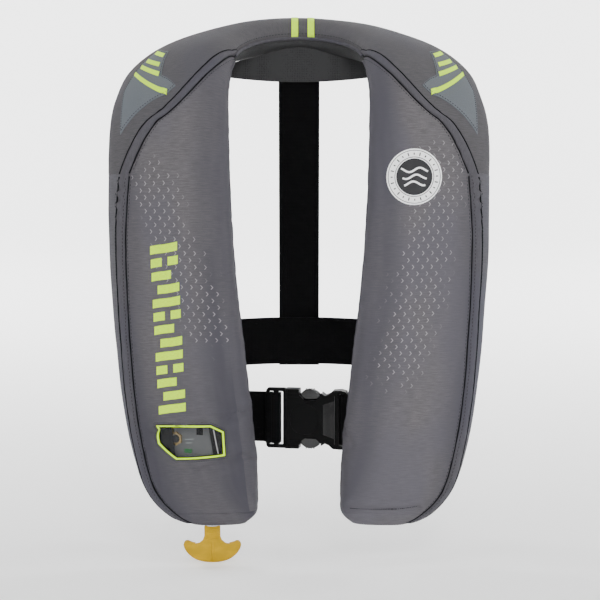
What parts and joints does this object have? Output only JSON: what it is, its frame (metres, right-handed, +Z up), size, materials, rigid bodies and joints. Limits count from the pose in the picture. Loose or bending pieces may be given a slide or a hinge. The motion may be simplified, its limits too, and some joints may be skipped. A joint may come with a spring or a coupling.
{
  "type": "inflatable life jacket",
  "caption": "Horseshoe-shaped inflatable life jacket, packed flat and buckled, with a waist belt, a jerk handle, an inspection window and peel-back cover flaps over its inflator.",
  "frame": {"origin": "centre of the neck opening, where the collar rests on the wearer's shoulders", "axes": "+Z up along the wearer, +X to the viewer's right when the jacket is seen from the front, -Y out of the wearer's chest"},
  "size_m": [0.3814, 0.3028, 0.5375],
  "materials": {
    "cover_fabric": "woven grey nylon, matte",
    "collar_fabric": "woven darker grey nylon",
    "gusset_fabric": "woven grey nylon, matte",
    "lining_fabric": "dark spacer mesh",
    "strip_fabric": "hook and loop tape",
    "webbing": "black woven webbing",
    "bladder_fabric": "coated yellow nylon",
    "tube_rubber": "yellow rubber",
    "reflective_fabric": "grey reflective tape",
    "badge_print": "printed badge",
    "bright_trim": "fluorescent print",
    "clear_window": "clear vinyl",
    "buckle_plastic": "black acetal",
    "yellow_plastic": "moulded yellow plastic",
    "white_cord": "braided cord",
    "bobbin_paper": "pressed tablet",
    "grey_plastic": "moulded grey plastic",
    "green_plastic": "green indicator",
    "black_plastic": "black plastic",
    "black_rubber": "rubber seal",
    "orange_plastic": "orange plastic",
    "steel": "bare steel",
    "brass": "brass"
  },
  "bodies": {
    "shell": {"front_cover_left": "cover_fabric", "front_cover_right": "cover_fabric", "collar_cover": "collar_fabric", "side_gusset_left": "gusset_fabric", "side_gusset_right": "gusset_fabric", "bottom_cup_left": "gusset_fabric", "bottom_cup_right": "gusset_fabric", "back_panel_left": "lining_fabric", "back_panel_right": "lining_fabric", "collar_lining": "lining_fabric", "neck_yoke": "lining_fabric", "hook_strip_left": "strip_fabric", "hook_strip_right": "strip_fabric", "back_strap": "webbing", "back_belt": "webbing", "strap_patch": "webbing", "belt_side_left": "webbing", "belt_side_right": "webbing", "belt_loop_left": "webbing", "belt_loop_right": "webbing", "bladder": "bladder_fabric", "tube_flange": "bladder_fabric", "oral_tube": "tube_rubber", "reflective_patch_left": "reflective_fabric", "reflective_patch_right": "reflective_fabric", "badge": "badge_print", "buckle_female": "buckle_plastic", "bobbin": "bobbin_paper", "inflator_body": "grey_plastic", "indicator": "green_plastic", "manifold": "black_plastic", "oral_valve_body": "black_plastic", "firing_spring": "steel", "oral_spring": "steel", "lever_pin": "steel", "lanyard_grommet": "steel", "manifold_nut": "brass"},
    "flap_left": {"cover_flap_left": "cover_fabric", "loop_strip_left": "strip_fabric", "window_frame": "bright_trim", "window_lens": "clear_window"},
    "flap_right": {"cover_flap_right": "cover_fabric", "loop_strip_right": "strip_fabric"},
    "buckle_tongue": {"buckle_male": "buckle_plastic", "belt_front_left": "webbing"},
    "upper_prong": {"prong_upper": "buckle_plastic"},
    "lower_prong": {"prong_lower": "buckle_plastic"},
    "keeper": {"belt_keeper": "buckle_plastic"},
    "jerk_handle": {"pull_tab": "yellow_plastic", "pull_lanyard": "white_cord"},
    "lever": {"inflator_lever": "yellow_plastic"},
    "firing_pin_body": {"firing_pin": "steel"},
    "gasket_ring": {"cylinder_gasket": "black_rubber"},
    "gas_cylinder": {"co2_cylinder": "steel"},
    "cap": {"bobbin_cap": "yellow_plastic"},
    "poppet": {"oral_poppet": "black_plastic"},
    "dust_cap_body": {"dust_cap": "orange_plastic"},
    "whistle_body": {"whistle": "orange_plastic", "whistle_lanyard": "white_cord"}
  },
  "joints": [
    {"name": "cover_flap_left_peel", "type": "hinge", "parent": "shell", "child": "flap_left", "pos_m": [-0.12761, -0.11292, -0.23895], "axis": [-0.4974, 0.2427, 0.8329], "range_deg": [0, 80]},
    {"name": "cover_flap_right_peel", "type": "hinge", "parent": "shell", "child": "flap_right", "pos_m": [0.12761, -0.11292, -0.23895], "axis": [-0.4974, -0.2427, -0.8329], "range_deg": [0, 80]},
    {"name": "buckle_release", "type": "slide", "parent": "shell", "child": "buckle_tongue", "axis": [-0.9848, 0.1736, 0], "range_m": [0, 0.038], "deforming": ["prong_upper", "prong_lower"]},
    {"name": "prong_upper_press", "type": "hinge", "parent": "buckle_tongue", "child": "upper_prong", "pos_m": [-0.00542, -0.08704, -0.2975], "axis": [-0.1736, -0.9848, 0], "range_deg": [-12, 0], "stiffness_Nm_per_rad": 0.6},
    {"name": "prong_lower_press", "type": "hinge", "parent": "buckle_tongue", "child": "lower_prong", "pos_m": [-0.00542, -0.08704, -0.3385], "axis": [-0.1736, -0.9848, 0], "range_deg": [0, 12], "stiffness_Nm_per_rad": 0.6},
    {"name": "belt_keeper_slide", "type": "slide", "parent": "shell", "child": "keeper", "axis": [-0.9848, 0.1736, 0], "range_m": [0, 0.008]},
    {"name": "jerk_handle_pull", "type": "slide", "parent": "shell", "child": "jerk_handle", "axis": [0, 0, -1], "range_m": [0, 0.0424]},
    {"name": "inflator_lever_turn", "type": "hinge", "parent": "shell", "child": "lever", "pos_m": [-0.10573, -0.09839, -0.342], "axis": [-0.3987, -0.9171, 0], "range_deg": [-90, 0]},
    {"name": "firing_pin_rise", "type": "slide", "parent": "shell", "child": "firing_pin_body", "axis": [0, 0, 1], "range_m": [0, 0.0015], "deforming": ["firing_spring"]},
    {"name": "cylinder_rise", "type": "slide", "parent": "shell", "child": "gasket_ring", "axis": [0, 0, 1], "range_m": [0, 0.0096]},
    {"name": "cylinder_unscrew", "type": "hinge", "parent": "gasket_ring", "child": "gas_cylinder", "pos_m": [-0.11154, -0.10022, -0.286], "axis": [0, 0, 1], "range_deg": [0, 3240]},
    {"name": "bobbin_cap_turn", "type": "hinge", "parent": "shell", "child": "cap", "pos_m": [-0.1253, -0.09424, -0.346], "axis": [-0.9171, 0.3987, 0], "range_deg": [0, 90]},
    {"name": "oral_poppet_press", "type": "slide", "parent": "shell", "child": "poppet", "axis": [0, 0, -1], "range_m": [0, 0.003], "stiffness_N_per_m": 250, "deforming": ["oral_spring"]},
    {"name": "dust_cap_lift", "type": "slide", "parent": "shell", "child": "dust_cap_body", "axis": [0, 0, 1], "range_m": [0, 0.02]},
    {"name": "whistle_swing", "type": "hinge", "parent": "shell", "child": "whistle_body", "pos_m": [0.09171, -0.11202, -0.277], "axis": [0.4337, -0.9011, 0], "range_deg": [-12, 12]}
  ],
  "couplings": [
    {"joint": "inflator_lever_turn", "follows": "jerk_handle_pull", "rad_per_m": -37},
    {"joint": "firing_pin_rise", "follows": "jerk_handle_pull", "ratio": 0.035},
    {"joint": "cylinder_rise", "follows": "cylinder_unscrew", "m_per_rad": 0.0001684}
  ]
}
